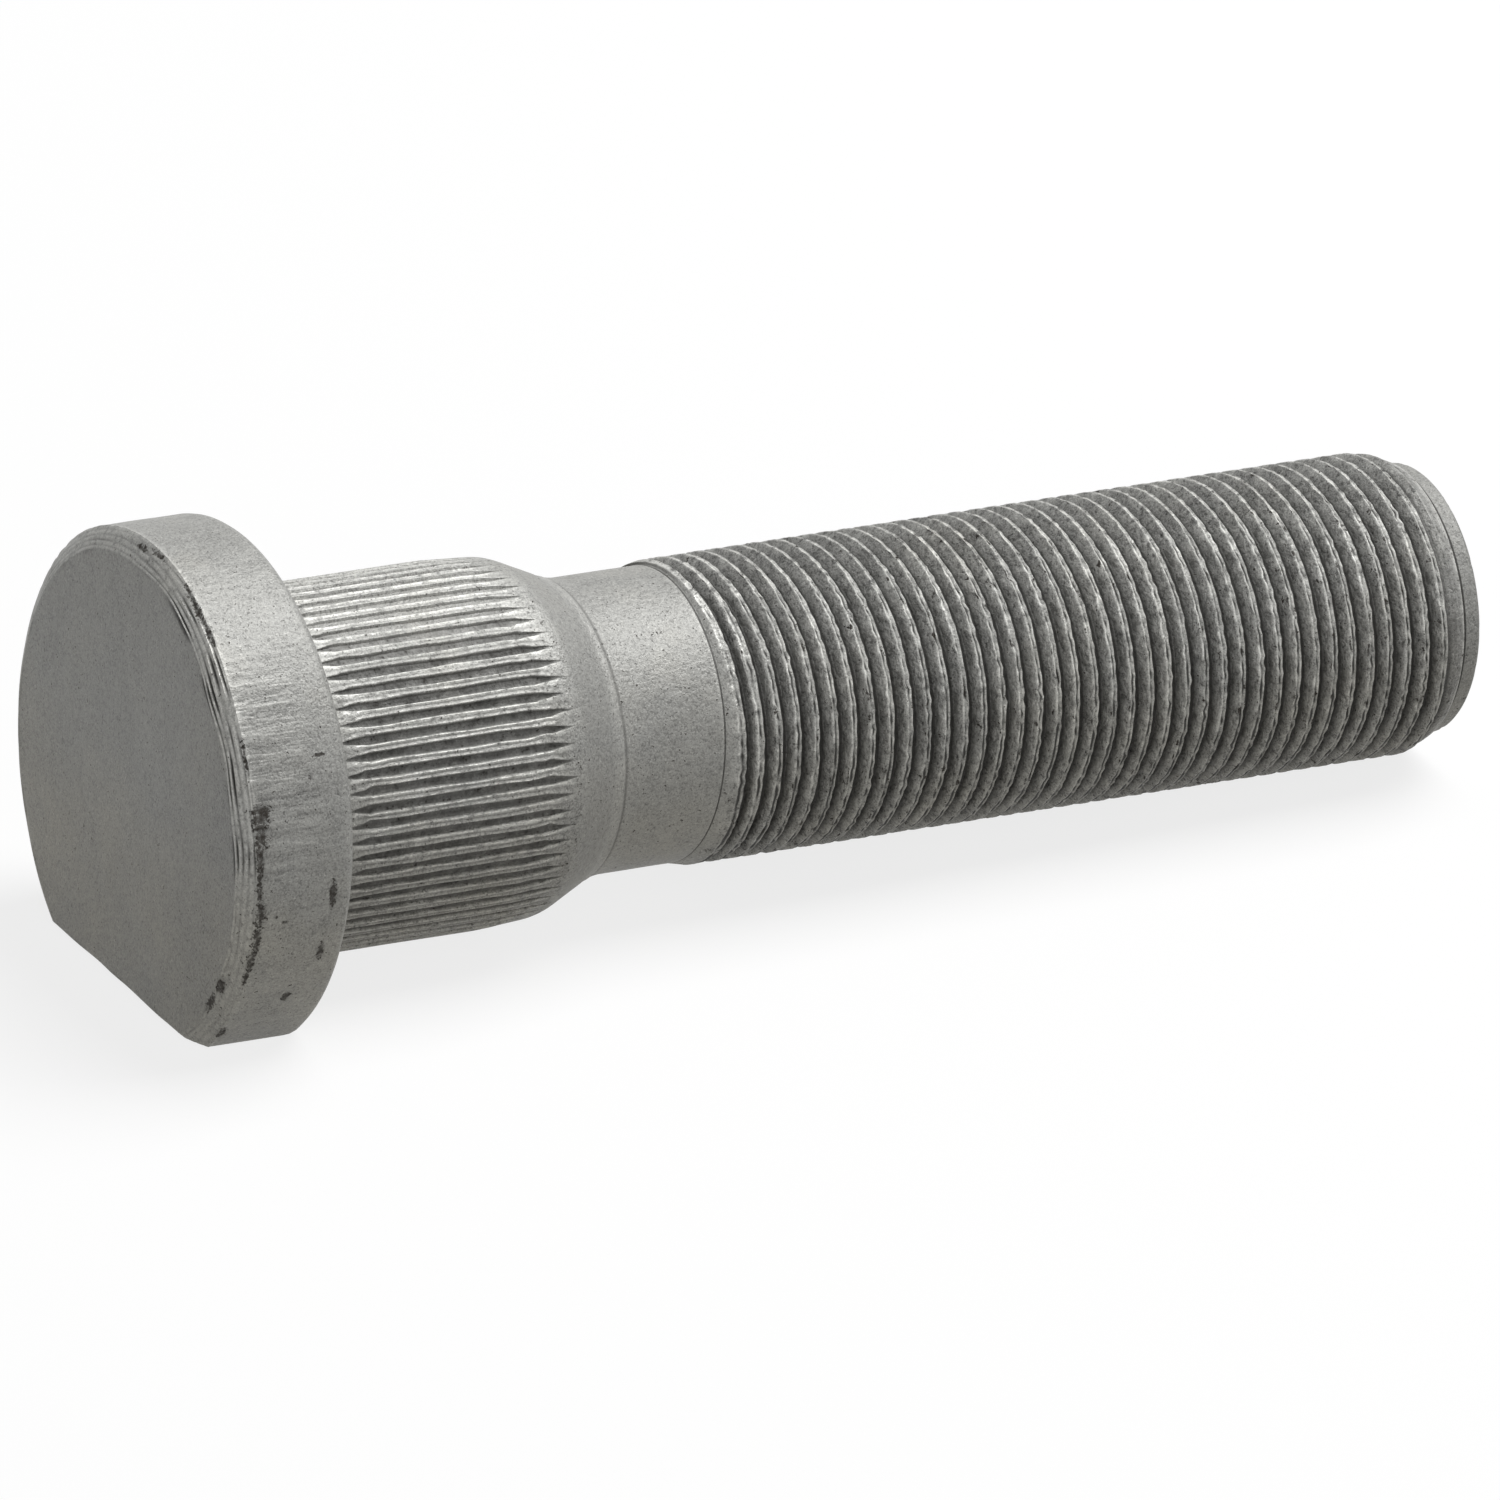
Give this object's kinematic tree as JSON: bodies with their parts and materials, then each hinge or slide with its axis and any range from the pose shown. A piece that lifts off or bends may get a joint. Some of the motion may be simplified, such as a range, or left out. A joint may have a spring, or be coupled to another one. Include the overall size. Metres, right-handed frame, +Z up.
{
  "type": "wheel stud",
  "caption": "Press-in wheel stud with a flat-sided round head, serrated collar, coned shank, fine thread and short pilot tip, lying on the flat of its head.",
  "frame": {"origin": "on the ground under the middle of the stud as it lies at rest", "axes": "+X along the stud towards its tip, on the ground; +Z up. The stud's own axis lies in the XZ plane and dips by about 2 degrees towards the tip."},
  "size_m": [0.1048, 0.0378, 0.0333],
  "materials": {
    "coated_steel": "satin grey metal coat over forged steel, scuffed along the edges"
  },
  "bodies": {
    "root": {"wheel_stud": "coated_steel"}
  },
  "joints": []
}
